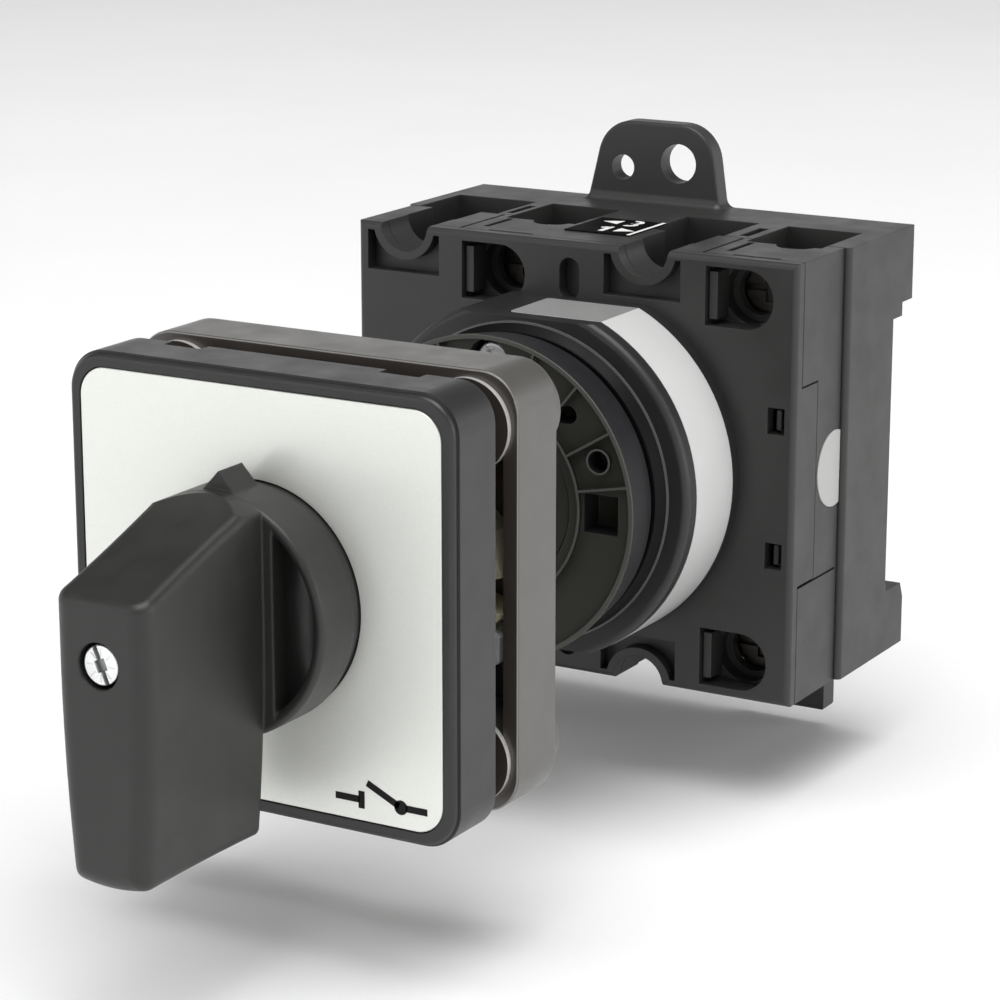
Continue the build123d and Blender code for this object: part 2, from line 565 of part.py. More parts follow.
# Contact housing: the insulating block behind the cover. Its middle is hollow for the
# cams and contacts, and each terminal has a screwdriver guide and a clamp chamber.
HOUSING_FRONT = COVER_BACK + 0.15
GUIDE_R = 3.65
GUIDE_LIP_R = 2.9
with BuildPart() as contact_housing:
    block(BODY_LEFT, BODY_RIGHT, HOUSING_FRONT, HOUSING_BACK - 0.2, BODY_BOTTOM, BODY_TOP)
    block(CAVITY_LEFT, CAVITY_RIGHT, HOUSING_FRONT - 1, HOUSING_BACK + 1, CAVITY_BOTTOM, CAVITY_TOP,
          mode=Mode.SUBTRACT)
    skirt_room = SKIRT_THICK + 0.1
    for x0, x1 in ((BODY_LEFT - 1, BODY_LEFT + skirt_room), (BODY_RIGHT - skirt_room, BODY_RIGHT + 1)):
        block(x0, x1, HOUSING_FRONT - 1, SKIRT_BACK + 0.12, SKIRT_BOTTOM - 0.35, SKIRT_TOP + 0.2,
              mode=Mode.SUBTRACT)
    for pole in POLE_X:
        notch = pole + NOTCH_DX
        for sign, end, z in zip((1, -1), (BODY_TOP, BODY_BOTTOM), both_ends(TERMINAL_Z)):
            # terminal: recess behind the window, screwdriver guide, clamp chamber, wire funnel
            block(pole - 4.4, pole + 4.5, HOUSING_FRONT - 1, -28.2, z - 3.6, z + 3.6, mode=Mode.SUBTRACT)
            barrel(GUIDE_R, -28.3, -26.0, pole, z, mode=Mode.SUBTRACT)
            barrel(GUIDE_LIP_R, -26.1, -24.5, pole, z, mode=Mode.SUBTRACT)
            barrel(GUIDE_R, -24.6, -23.6, pole, z, mode=Mode.SUBTRACT)
            z0, z1 = sorted((z - 5.6 * sign, z + 3.4 * sign))
            block(pole - 4.5, pole + 4.9, -23.7, HOUSING_BACK + 1, z0, z1, mode=Mode.SUBTRACT)
            block(pole - 4.2, pole - 3.15, COVER_FRONT + 0.65, -28.1, z - 2.85, z + 2.85)
            z0, z1 = sorted((z, end + sign))
            with BuildSketch(Plane.XY.offset(z0)):
                with Locations((pole + 1.95, -20.4)):
                    Circle(2.55)
                with Locations((pole + 0.35, -19.0)):
                    Rectangle(9.9, 3.9)
            extrude(amount=z1 - z0, mode=Mode.SUBTRACT)
            # cable channel behind the notch
            barrel(NOTCH_R, HOUSING_FRONT - 1, -25.4, notch, end, mode=Mode.SUBTRACT)
            z0, z1 = sorted((end + sign, end - 8.2 * sign))
            block(notch - 3.6, notch + 3.6, -25.5, HOUSING_BACK + 1, z0, z1, mode=Mode.SUBTRACT)
            # L-shaped relief slits round the terminal's lid
            z0, z1 = sorted((end + sign, end - 1.2 * sign))
            block(pole - 3.9, pole - 3.1, -27.7, -21.4, z0, z1, mode=Mode.SUBTRACT)
            block(pole - 2.0, pole + 4.2, -29.9, -29.4, z0, z1, mode=Mode.SUBTRACT)
            block(pole - 5.95, pole - 5.55, -30.4, -19.3, z0, z1, mode=Mode.SUBTRACT)
    # shallow seams that run back from the skirts
    for x0, x1 in ((BODY_LEFT - 1, BODY_LEFT + 0.35), (BODY_RIGHT - 0.35, BODY_RIGHT + 1)):
        block(x0, x1, SKIRT_BACK, HOUSING_BACK - 0.6, SKIRT_BOTTOM - 0.35, SKIRT_BOTTOM - 0.1,
              mode=Mode.SUBTRACT)
    # snap tongues that show in the cover's small windows
    for x in (BODY_LEFT + SNAP_IN, BODY_RIGHT - SNAP_IN):
        for z in SNAP_Z:
            block(x - 0.3, x + 0.3, COVER_FRONT + 0.9, HOUSING_FRONT + 0.4, z - 1.2, z + 1.2)
    # flat seat for the round side badge
    with BuildSketch(Plane.YZ.offset(BODY_RIGHT - 0.3)):
        with Locations((-20.6, 0)):
            Circle(4.78)
    extrude(amount=1, mode=Mode.SUBTRACT)
    # slots where the fixed contacts pass from the clamp chambers to the middle
    for pole in POLE_X:
        for z in both_ends(14.6):
            block(pole - 3.6, pole + 3.6, -21.2, HOUSING_BACK + 1, z - 2.6, z + 2.6, mode=Mode.SUBTRACT)
    for z in both_ends(JOIN_Z):
        barrel(1.3, -25.0, HOUSING_BACK + 1, JOIN_X, z, mode=Mode.SUBTRACT)
write(contact_housing, "contact_housing")

# Rear housing: wire wells, rotor bearing, rail recess with fixed hooks, screw tab, and the
# groove of the rail latch.
WELL_DEPTH_Z = 15.6
SPARE_WELLS = ((-30.4, -18.9), (2.8, 12.8))
RIB_SLOTS = ((-18.26, -17.3), (14.3, 15.6))
TAB_FRONT = -2.55
TAB_TOP = 37.0
TAB_HOLES = ((-1.9, 32.0, 2.51), (-9.85, 31.0, 1.62))
LATCH_LEFT = 8.1
LATCH_RIGHT = 20.4
with BuildPart() as rear_housing:
    block(BODY_LEFT - REAR_STEP, BODY_RIGHT + REAR_STEP, HOUSING_BACK, REAR, BODY_BOTTOM, BODY_TOP)
    fillet(rear_housing.faces().sort_by(Axis.Y)[0].edges().filter_by(Axis.Z), 0.7)
    for pole, (left, right) in zip(POLE_X, SPARE_WELLS):
        for sign, end in ((1, BODY_TOP), (-1, BODY_BOTTOM)):
            inner = WELL_DEPTH_Z if sign > 0 else mirrored_z(WELL_DEPTH_Z)
            z0, z1 = sorted((inner, end + sign))
            block(pole - 4.6, pole + 5.3, HOUSING_BACK - 1, WELL_BACK, z0, z1, mode=Mode.SUBTRACT)
            z0, z1 = sorted((inner + sign, end + sign))
            block(left, right, HOUSING_BACK - 1, WELL_BACK, z0, z1, mode=Mode.SUBTRACT)
    for left, right in RIB_SLOTS:
        for sign, end in ((1, BODY_TOP), (-1, BODY_BOTTOM)):
            z0, z1 = sorted((end - 4 * sign, end + sign))
            block(left, right, -17.9, -11.9, z0, z1, mode=Mode.SUBTRACT)
    # hollow middle with the rotor's bearing
    block(CAVITY_LEFT, CAVITY_RIGHT, HOUSING_BACK - 1, -7.8, CAVITY_BOTTOM + 1.2, CAVITY_TOP - 1.2,
          mode=Mode.SUBTRACT)
    barrel(7.6, -16.4, -7.0)
    block(-26, 23.5, -15.0, -7.5, -0.9, 0.9)
    barrel(5.26, -17.0, -9.1, mode=Mode.SUBTRACT)
    barrel(4.0, -9.2, -6.9, mode=Mode.SUBTRACT)
    # rail recess across the back, with two fixed hooks above and two seats below
    with BuildSketch(Plane.YZ.offset(-50)):
        with BuildLine():
            Polyline((1, 17.35), (RAIL_SEAT, 17.35), (RAIL_SEAT, 15.65), (RAIL_FLOOR, 15.65),
                     (RAIL_FLOOR, -18.1), (RAIL_FLOOR + 0.2, -18.1), (RAIL_FLOOR + 0.2, -19.25),
                     (-0.85, -19.25), (REAR, -21.2), (1, -21.2), close=True)
        make_face()
    extrude(amount=100, mode=Mode.SUBTRACT)
    for x in (-20.0, 17.0):
        block(x - 2.6, x + 2.6, -1.8, REAR - 0.05, 15.9, 17.5)
    for x in (-16.5, 4.5):
        block(x - 1.2, x + 1.2, RAIL_FLOOR - 0.1, RAIL_SEAT, -17.6, -13.4)
    # latch groove with undercuts and a post for the spring
    block(LATCH_LEFT, LATCH_RIGHT, -3.4, REAR + 1, BODY_BOTTOM - 1, -19.0, mode=Mode.SUBTRACT)
    block(LATCH_LEFT - 1.1, LATCH_RIGHT + 1.1, -3.4, -1.75, -26.2, -19.0, mode=Mode.SUBTRACT)
    block(12.5, 16.0, -3.5, -0.6, -25.8, -24.8)
    # screw tab
    with BuildSketch(at(REAR)):
        with BuildLine():
            Polyline((-15.0, BODY_TOP - 1), (-15.0, BODY_TOP), (-12.5, TAB_TOP), (2.5, TAB_TOP),
                     (4.0, BODY_TOP), (4.0, BODY_TOP - 1), close=True)
        make_face()
    extrude(amount=REAR - TAB_FRONT)
    top_edges = (rear_housing.edges().filter_by(Axis.Y)
                 .filter_by_position(Axis.Z, TAB_TOP - 0.1, TAB_TOP + 0.1))
    fillet(top_edges, 5.0)
    tab_face = (rear_housing.faces().filter_by(Axis.Y)
                .filter_by_position(Axis.Y, TAB_FRONT - 0.1, TAB_FRONT + 0.1))
    fillet(tab_face.edges().filter_by_position(Axis.Z, BODY_TOP + 0.5, TAB_TOP + 1), 0.4)
    tab_root = (rear_housing.edges().filter_by(Axis.X)
                .filter_by_position(Axis.Y, TAB_FRONT - 0.1, TAB_FRONT + 0.1)
                .filter_by_position(Axis.Z, BODY_TOP - 0.1, BODY_TOP + 0.1))
    fillet(tab_root, 1.2)
    for x, z, r in TAB_HOLES:
        barrel(r, TAB_FRONT - 1, REAR + 1, x, z, mode=Mode.SUBTRACT)
    # holes for the joining screws, with deep counterbores from the rear
    for z in both_ends(JOIN_Z):
        barrel(1.35, HOUSING_BACK - 1, REAR + 1, JOIN_X, z, mode=Mode.SUBTRACT)
        barrel(3.0, -10.2, REAR + 1, JOIN_X, z, mode=Mode.SUBTRACT)
write(rear_housing, "rear_housing")

# Two screws from the rear that join the housings.
with BuildPart() as housing_screws:
    for z in both_ends(JOIN_Z):
        barrel(2.7, -10.2, -8.0, JOIN_X, z)
        barrel(1.25, -24.5, -10.1, JOIN_X, z)
    for z in both_ends(JOIN_Z):
        block(JOIN_X - 1.6, JOIN_X + 1.6, -8.9, -7.5, z - 0.3, z + 0.3, mode=Mode.SUBTRACT)
        block(JOIN_X - 0.3, JOIN_X + 0.3, -8.9, -7.5, z - 1.6, z + 1.6, mode=Mode.SUBTRACT)
write(housing_screws, "housing_screws")

# Round light-grey badge on the right-hand side.
with BuildPart() as side_badge:
    with BuildSketch(Plane.YZ.offset(BODY_RIGHT - 0.3)):
        with Locations((-20.6, 0)):
            Circle(4.72)
        with Locations((HOUSING_BACK - 0.15 + 5, 0)):
            Rectangle(10, 20, mode=Mode.SUBTRACT)
    extrude(amount=0.38)
write(side_badge, "side_badge")

# Terminal number labels on the top and the bottom.
for name, z0 in (("terminal_label_top", BODY_TOP), ("terminal_label_bottom", BODY_BOTTOM - 0.15)):
    with BuildPart() as terminal_label:
        block(-5.8, 3.2, -25.25, -15.5, z0, z0 + 0.15)
    write(terminal_label, name)

# ============================== TERMINALS ================================================

STRIP_FRONT = -20.4
STRIP_BACK = -19.4
CAGE_FRONT = -22.8
CAGE_WALL = 1.2
CAGE_BACK = -11.0

# Four slotted terminal screws.
with BuildPart() as terminal_screws:
    for pole in POLE_X:
        for z in both_ends(TERMINAL_Z):
            barrel(3.2, CAGE_FRONT - 1.1, CAGE_FRONT, pole, z)
            barrel(1.9, CAGE_FRONT - 0.1, STRIP_FRONT - 0.1, pole, z)
            block(pole - 3.5, pole + 3.5, CAGE_FRONT - 2, CAGE_FRONT - 0.4, z - 0.4, z + 0.4,
                  mode=Mode.SUBTRACT)
            block(pole - 0.45, pole + 0.45, CAGE_FRONT - 2, CAGE_FRONT - 0.4, z - 1.7, z + 1.7,
                  mode=Mode.SUBTRACT)
write(terminal_screws, "terminal_screws")

# Four steel cage clamps, open top and bottom for the wire and the contact strip.
with BuildPart() as terminal_clamps:
    for pole in POLE_X:
        for z0, z1 in ((17.6, 24.3), (mirrored_z(24.3), mirrored_z(17.6))):
            block(pole - 4.05, pole + 4.05, CAGE_FRONT, CAGE_BACK, z0, z1)
            block(pole - 3.1, pole + 3.1, CAGE_FRONT + CAGE_WALL, CAGE_BACK - CAGE_WALL, z0 - 1, z1 + 1,
                  mode=Mode.SUBTRACT)
        for z in both_ends(TERMINAL_Z):
            barrel(1.95, CAGE_FRONT - 1, CAGE_FRONT + CAGE_WALL + 0.5, pole, z, mode=Mode.SUBTRACT)
write(terminal_clamps, "terminal_clamps")

# ============================== CONTACTS =================================================

SIDES = ((-1, "left", POLE_X[0]), (1, "right", POLE_X[1]))
for side, side_name, pole in SIDES:
    # fixed contacts: a strip from the clamp with an upturned flange that holds the tip
    for end_name, flip in (("top", 1), ("bottom", -1)):
        def span(z0, z1):
            """Two heights, mirrored to the bottom when needed, lower one first."""
            return (z0, z1) if flip > 0 else (mirrored_z(z1), mirrored_z(z0))

        flange_x = sorted((side * 12.7, side * 13.5))
        with BuildPart() as fixed_contact:
            x0 = min(flange_x[0], pole - 3.0)
            x1 = max(flange_x[1], pole + 3.0)
            block(x0, x1, STRIP_FRONT, STRIP_BACK, *span(9.0, 13.0))
            block(pole - 3.0, pole + 3.0, STRIP_FRONT, STRIP_BACK, *span(12.9, 24.5))
            block(*flange_x, -27.6, STRIP_BACK, *span(5.4, 13.0))
            with BuildSketch(Plane.YZ.offset(side * 13.5)):
                with Locations((CONTACT_Y, sum(span(8.4, 9.4)) / 2)):
                    Circle(2.0)
            extrude(amount=side * (PAD_FACE - 13.5))
        write(fixed_contact, f"fixed_contact_{side_name}_{end_name}")

    # moving bridge with two tips that closes the pole
    bridge_x = sorted((side * (PAD_FACE + 0.35), side * (PAD_FACE + 0.35 + BRIDGE_THICK)))
    with BuildPart() as contact_bridge:
        block(*bridge_x, CONTACT_Y - 2.75, CONTACT_Y + 2.75, mirrored_z(11.2), 11.2)
        for z in both_ends(8.9):
            with BuildSketch(Plane.YZ.offset(side * (PAD_FACE + 0.36))):
                with Locations((CONTACT_Y, z)):
                    Circle(1.9)
            extrude(amount=-side * 0.3)
        block(side * 14.5 - 3, side * 14.5 + 3, CONTACT_Y - 2.05, CONTACT_Y + 2.05, -2.35, 1.75,
              mode=Mode.SUBTRACT)
    write(contact_bridge, f"contact_bridge_{side_name}")

    # carrier: nose on the cam, shoulder behind the bridge, neck through it, head and post
    with BuildPart() as contact_carrier:
        nose_x = side * (CAM_LOW + 0.2 + 1.2)
        barrel(1.2, CONTACT_Y - 3.6, CONTACT_Y + 3.0, nose_x, -0.3)
        block(*sorted((nose_x, side * 9.0)), CONTACT_Y - 3.6, CONTACT_Y + 3.0, -1.5, 0.9)
        block(*sorted((side * 8.9, side * (PAD_FACE + 0.35))), CONTACT_Y - 3.6, CONTACT_Y + 3.0, -3.3, 2.7)
        block(*sorted((side * 14.0, side * 15.3)), CONTACT_Y - 2.0, CONTACT_Y + 2.0, -2.3, 1.7)
        with BuildSketch(Plane.YZ.offset(side * 15.1)):
            with Locations((CONTACT_Y, -0.3)):
                Circle(3.2)
        extrude(amount=side * 1.4)
        with BuildSketch(Plane.YZ.offset(side * 16.4)):
            with Locations((CONTACT_Y, -0.3)):
                Circle(1.5)
        extrude(amount=side * 3.0)
    write(contact_carrier, f"contact_carrier_{side_name}")

    # contact spring between the carrier's head and the housing wall
    wall = CAVITY_LEFT if side < 0 else CAVITY_RIGHT
    length = abs(wall) - 16.5 - 0.6
    with BuildPart() as contact_spring:
        with BuildLine() as coil:
            Helix(length / 6, length, 2.1, center=(side * 16.8, CONTACT_Y, -0.3), direction=(side, 0, 0))
        with BuildSketch(Plane(origin=coil.line @ 0, z_dir=coil.line % 0)):
            Circle(0.25)
        sweep(path=coil.line, is_frenet=True)
    write(contact_spring, f"contact_spring_{side_name}")

# ============================== RAIL LATCH ===============================================

LATCH_BOTTOM = -37.3
with BuildPart() as rail_latch:
    block(8.0, 20.5, -3.15, REAR - 0.02, LATCH_BOTTOM, BODY_BOTTOM - 0.4)
    fillet(rail_latch.faces().sort_by(Axis.Z)[0].edges(), 0.5)
    block(LATCH_LEFT + 0.2, LATCH_RIGHT - 0.2, -3.15, -0.1, BODY_BOTTOM - 1, -19.6)
    block(LATCH_LEFT - 0.85, LATCH_RIGHT + 0.85, -3.15, -1.95, -23.6, -19.6)
    block(LATCH_LEFT + 0.2, LATCH_RIGHT - 0.2, -1.8, -0.35, -19.7, -16.3)
    chamfer(rail_latch.faces().sort_by(Axis.Z)[-1].edges().filter_by(Axis.X).sort_by(Axis.Y)[-1], 0.9)
    block(12.0, 16.5, -5, 1, -26.0, -20.6, mode=Mode.SUBTRACT)
    block(12.2, 16.3, -5, 1, -33.6, -31.0, mode=Mode.SUBTRACT)
write(rail_latch, "rail_latch")

with BuildPart() as latch_spring:
    with BuildLine() as coil:
        Helix(1.2, 3.6, 0.85, center=(14.25, -1.9, -24.5), direction=(0, 0, 1))
    with BuildSketch(Plane(origin=coil.line @ 0, z_dir=coil.line % 0)):
        Circle(0.17)
    sweep(path=coil.line, is_frenet=True)
write(latch_spring, "latch_spring")
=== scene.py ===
import math

import bmesh
import bpy
from mathutils import Matrix, Vector


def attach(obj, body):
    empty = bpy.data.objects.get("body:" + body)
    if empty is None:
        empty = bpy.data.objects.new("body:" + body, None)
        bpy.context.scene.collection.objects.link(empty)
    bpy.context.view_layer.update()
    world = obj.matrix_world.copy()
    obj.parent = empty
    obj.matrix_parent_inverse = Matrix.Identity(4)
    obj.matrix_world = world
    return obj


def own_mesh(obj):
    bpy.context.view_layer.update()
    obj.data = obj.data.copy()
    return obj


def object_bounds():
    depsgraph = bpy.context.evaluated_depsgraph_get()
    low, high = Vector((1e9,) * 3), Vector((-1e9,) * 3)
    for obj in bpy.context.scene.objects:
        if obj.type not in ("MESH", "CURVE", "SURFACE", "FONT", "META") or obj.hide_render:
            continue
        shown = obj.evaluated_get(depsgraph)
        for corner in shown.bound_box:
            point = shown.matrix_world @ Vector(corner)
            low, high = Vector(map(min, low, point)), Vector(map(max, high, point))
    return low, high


# Rotary isolator switch: looks, printed marks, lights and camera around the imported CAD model.
# Lengths are in metres in the CAD frame unless they are multiplied by MM. Seen from the knob, +X is
# to the right and +Z up, and +Y is to the rear.

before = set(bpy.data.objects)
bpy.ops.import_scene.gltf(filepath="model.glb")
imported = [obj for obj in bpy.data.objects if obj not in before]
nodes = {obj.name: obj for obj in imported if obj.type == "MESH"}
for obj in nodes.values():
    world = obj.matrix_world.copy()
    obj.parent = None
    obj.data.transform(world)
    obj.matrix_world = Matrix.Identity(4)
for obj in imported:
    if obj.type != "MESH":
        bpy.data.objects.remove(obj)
cad_low, cad_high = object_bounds()

MM = 0.001


# ---- camera: the photograph's place and angle --------------------------------------------------

CAMERA_AT = Vector((183.70, -365.94, 95.53)) * MM
CAMERA_AZIMUTH = 30.24
CAMERA_ELEVATION = 14.814
CAMERA_LENS = 116.09
CAMERA_SENSOR = 36.0


def outward(azimuth, elevation):
    """Direction from the switch, in degrees: azimuth 0 is in front of the knob, 90 to its right."""
    a, e = math.radians(azimuth), math.radians(elevation)
    return Vector((math.sin(a) * math.cos(e), -math.cos(a) * math.cos(e), math.sin(e)))


def place_facing(piece, location, back):
    """Puts a camera or a light in the scene, looking the opposite way to back."""
    piece.location = location
    piece.rotation_mode = "QUATERNION"
    piece.rotation_quaternion = (-back).to_track_quat("-Z", "Y")
    bpy.context.collection.objects.link(piece)


def make_camera():
    """The photograph's camera."""
    data = bpy.data.cameras.new("camera")
    data.lens = CAMERA_LENS
    data.sensor_width = CAMERA_SENSOR
    data.clip_start = 0.01
    data.clip_end = 50.0
    camera = bpy.data.objects.new("camera", data)
    place_facing(camera, CAMERA_AT, outward(CAMERA_AZIMUTH, CAMERA_ELEVATION))
    bpy.context.scene.camera = camera


# ---- shader helpers ----------------------------------------------------------------------------

def new_material(name):
    """A material with its tree, its Principled shader and object coordinates in metres."""
    material = bpy.data.materials.new(name)
    material.use_nodes = True
    tree = material.node_tree
    shader = next(n for n in tree.nodes if n.type == "BSDF_PRINCIPLED")
    coordinates = tree.nodes.new("ShaderNodeTexCoord").outputs["Object"]
    return material, tree, shader, coordinates


def noise(tree, coordinates, size, detail, stretch=(1, 1, 1)):
    """Noise whose features are about size metres across."""
    mapping = tree.nodes.new("ShaderNodeMapping")
    mapping.inputs["Scale"].default_value = stretch
    tree.links.new(coordinates, mapping.inputs["Vector"])
    texture = tree.nodes.new("ShaderNodeTexNoise")
    texture.inputs["Scale"].default_value = 1.0 / size
    texture.inputs["Detail"].default_value = detail
    tree.links.new(mapping.outputs["Vector"], texture.inputs["Vector"])
    return texture.outputs["Fac"]


def ranged(tree, value, low, high, start=0.3, end=0.7):
    """Value mapped from start...end to low...high, and held at both ends."""
    node = tree.nodes.new("ShaderNodeMapRange")
    node.inputs["From Min"].default_value = start
    node.inputs["From Max"].default_value = end
    node.inputs["To Min"].default_value = low
    node.inputs["To Max"].default_value = high
    tree.links.new(value, node.inputs["Value"])
    return node.outputs["Result"]


def blended(tree, factor, first, second):
    """Colour between first and second."""
    node = tree.nodes.new("ShaderNodeMix")
    node.data_type = "RGBA"
    node.inputs["A"].default_value = (*first, 1)
    node.inputs["B"].default_value = (*second, 1)
    tree.links.new(factor, node.inputs["Factor"])
    return node.outputs["Result"]


def multiplied(tree, colour, factor):
    """Colour made darker or lighter by a number."""
    node = tree.nodes.new("ShaderNodeVectorMath")
    node.operation = "SCALE"
    tree.links.new(colour, node.inputs[0])
    tree.links.new(factor, node.inputs["Scale"])
    return node.outputs["Vector"]


def covered(tree, factor, colour, cover):
    """Colour with a second, fixed colour laid over it where factor is 1."""
    node = tree.nodes.new("ShaderNodeMix")
    node.data_type = "RGBA"
    tree.links.new(factor, node.inputs["Factor"])
    tree.links.new(colour, node.inputs["A"])
    node.inputs["B"].default_value = (*cover, 1)
    return node.outputs["Result"]


def surface(tree, what, axis):
    """One coordinate of the surface's Position (metres) or Normal."""
    geometry = tree.nodes.new("ShaderNodeNewGeometry")
    split = tree.nodes.new("ShaderNodeSeparateXYZ")
    tree.links.new(geometry.outputs[what], split.inputs["Vector"])
    return split.outputs[axis]


def opened(material):
    """Tree, shader and present colour of a finished material, to lay more over it."""
    tree = material.node_tree
    shader = next(n for n in tree.nodes if n.type == "BSDF_PRINCIPLED")
    return tree, shader, shader.inputs["Base Color"].links[0].from_socket


def relief(tree, shader, edge, height, depth):
    """Bump from a height pattern, depth in metres, on edges softly rounded by edge metres."""
    bump = tree.nodes.new("ShaderNodeBump")
    bump.inputs["Strength"].default_value = 1.0
    bump.inputs["Distance"].default_value = depth
    tree.links.new(height, bump.inputs["Height"])
    if edge:
        bevel = tree.nodes.new("ShaderNodeBevel")
        bevel.samples = 4
        bevel.inputs["Radius"].default_value = edge
        tree.links.new(bevel.outputs["Normal"], bump.inputs["Normal"])
    tree.links.new(bump.outputs["Normal"], shader.inputs["Normal"])


def tint(colour, factor):
    """Fixed colour made darker or lighter."""
    return tuple(min(1.0, c * factor) for c in colour)


def mottle(tree, shader, pattern, colour, uneven):
    """Base colour that wanders a little around colour with a broad noise pattern."""
    dark, light = tint(colour, 1 - uneven), tint(colour, 1 + uneven)
    colours = blended(tree, ranged(tree, pattern, 0, 1), dark, light)
    tree.links.new(colours, shader.inputs["Base Color"])


# ---- materials ---------------------------------------------------------------------------------

# Sizes of the broad patterns in metres, and how far roughness wanders to each side.
PLASTIC_TONE = 0.012
PLASTIC_POLISH = 0.004
PLASTIC_SPREAD = 0.05
METAL_TONE = 0.004
METAL_SPREAD = 0.07


def plastic(name, colour, rough, grain=0.00022, depth=0.000006, edge=0.00015, uneven=0.08,
            specular=0.5):
    """Moulded plastic: spark-eroded grain, a broad faint tone change and patches of polish."""
    material, tree, shader, coordinates = new_material(name)
    mottle(tree, shader, noise(tree, coordinates, PLASTIC_TONE, 3.0), colour, uneven)
    fine = noise(tree, coordinates, grain, 3.0)
    patches = noise(tree, coordinates, PLASTIC_POLISH, 4.0)
    polish = ranged(tree, patches, rough - PLASTIC_SPREAD, rough + PLASTIC_SPREAD)
    tree.links.new(polish, shader.inputs["Roughness"])
    shader.inputs["Specular IOR Level"].default_value = specular
    relief(tree, shader, edge, fine, depth)
    return material


def metal(name, colour, rough, grain=0.0002, depth=0.000004, edge=0.00015, stretch=(1, 1, 1),
          metallic=1.0, uneven=0.08):
    """Plated metal, or drawn metal whose fine marks a stretch lays along one direction."""
    material, tree, shader, coordinates = new_material(name)
    mottle(tree, shader, noise(tree, coordinates, METAL_TONE, 4.0), colour, uneven)
    fine = noise(tree, coordinates, grain, 4.0, stretch)
    polish = ranged(tree, fine, rough - METAL_SPREAD, rough + METAL_SPREAD)
    tree.links.new(polish, shader.inputs["Roughness"])
    shader.inputs["Metallic"].default_value = metallic
    relief(tree, shader, edge, fine, depth)
    return material


def bright_zinc(name, edge):
    """Plated screw metal, with edges rounded by edge."""
    return metal(name, (0.86, 0.87, 0.87), 0.30, grain=0.0008, depth=0.0000003, edge=edge,
                 metallic=0.8)


def satin_plate(name):
    """Silver plate: fine sparkling grain in a satin metal ground with a faint cloudiness."""
    material, tree, shader, coordinates = new_material(name)
    fine = noise(tree, coordinates, 0.00012, 3.0)
    cloud = noise(tree, coordinates, 0.014, 2.0)
    grain = blended(tree, ranged(tree, fine, 0, 1), (0.83, 0.845, 0.80), (0.88, 0.895, 0.85))
    tree.links.new(grain, shader.inputs["Base Color"])
    tree.links.new(ranged(tree, cloud, 0.38, 0.44), shader.inputs["Roughness"])
    shader.inputs["Metallic"].default_value = 0.45
    relief(tree, shader, 0, fine, 0.000002)
    return material


# ---- materials with a second tone on some faces, mostly painted shade and painted highlights ---

# Each pair is where a tone starts and ends. On normals, 1 faces straight up or to the rear and -1
# straight down or to the front; on places, it is Y in metres.
BAND_FLAT_NORMAL = (0.90, 0.97)
BAND_PAINTED_SHADE_NORMAL = (-0.75, -0.15)
CLAMP_HIGHLIGHT_EDGE_NORMAL = (-0.75, -0.6)
CLAMP_SHADED_FRONT_NORMAL = (-0.97, -0.93)
DISC_SHADED_FACE_NORMAL = (-0.9, -0.5)
CAP_SIDE_NORMAL = (-0.5, -0.2)
CAP_RIB_TOP_HIGHLIGHT = (-0.05428, -0.05418)
COLLAR_SHADED_STEP = (-0.04563, -0.04561)
COLLAR_HIGHLIGHT_LINE = (-0.04547, -0.04546)
KNOB_SCREW_SHADED_RECESS = (-0.12755, -0.12735)


def band_plastic(name):
    """Light grey band: its top flat is a darker grey, and its round part gets painted shade
    underneath, where less light falls from above.
    """
    material = plastic(name, (0.60, 0.60, 0.595), 0.40, depth=0.000002, uneven=0.02)
    tree, shader, colour = opened(material)
    upward = surface(tree, "Normal", "Z")
    flat = ranged(tree, upward, 0.98, 0.46, *BAND_FLAT_NORMAL)
    # Painted shade: the round part's colour darkens where it faces downward, away from the light
    # above.
    painted_under_shade = ranged(tree, upward, 0.68, 1.0, *BAND_PAINTED_SHADE_NORMAL)
    shaded = multiplied(tree, multiplied(tree, colour, flat), painted_under_shade)
    tree.links.new(shaded, shader.inputs["Base Color"])
    return material


def clamp_plastic(name):
    """Warm grey-brown moulding: its front face gets painted shade in a darker, browner colour, and
    a thin painted highlight runs along its front edge.
    """
    material = plastic(name, (0.070, 0.067, 0.061), 0.36, depth=0.000004, edge=0.00004, uneven=0.04,
                       specular=1.0)
    tree, shader, colour = opened(material)
    rearward = surface(tree, "Normal", "Y")
    # Painted highlight: a thin light line where the front edge rounds over.
    edge = ranged(tree, rearward, 1, 0, *CLAMP_HIGHLIGHT_EDGE_NORMAL)
    painted_highlight_edged = covered(tree, edge, colour, (0.20, 0.19, 0.18))
    # Painted shade: the front face, deep in the gap behind the bezel, gets a darker, browner
    # colour.
    front = ranged(tree, rearward, 1, 0, *CLAMP_SHADED_FRONT_NORMAL)
    painted_shade_fronted = covered(tree, front, painted_highlight_edged, (0.040, 0.032, 0.028))
    tree.links.new(painted_shade_fronted, shader.inputs["Base Color"])
    return material


def disc_metal(name):
    """Zinc pressure disc: bright turned rim; its face gets painted shade, a dark brownish colour
    with less metal, where it faces the bezel's dark rear.
    """
    material = metal(name, (0.80, 0.79, 0.77), 0.34, grain=0.0004, depth=0.0000002, edge=0)
    tree, shader, colour = opened(material)
    # Painted shade: the face turned to the bezel's dark rear is made dark brownish and less
    # metallic.
    front = ranged(tree, surface(tree, "Normal", "Y"), 1, 0, *DISC_SHADED_FACE_NORMAL)
    painted_shade_fronted = covered(tree, front, colour, (0.040, 0.033, 0.029))
    tree.links.new(painted_shade_fronted, shader.inputs["Base Color"])
    tree.links.new(ranged(tree, front, 0.55, 0.0, 0, 1), shader.inputs["Metallic"])
    return material


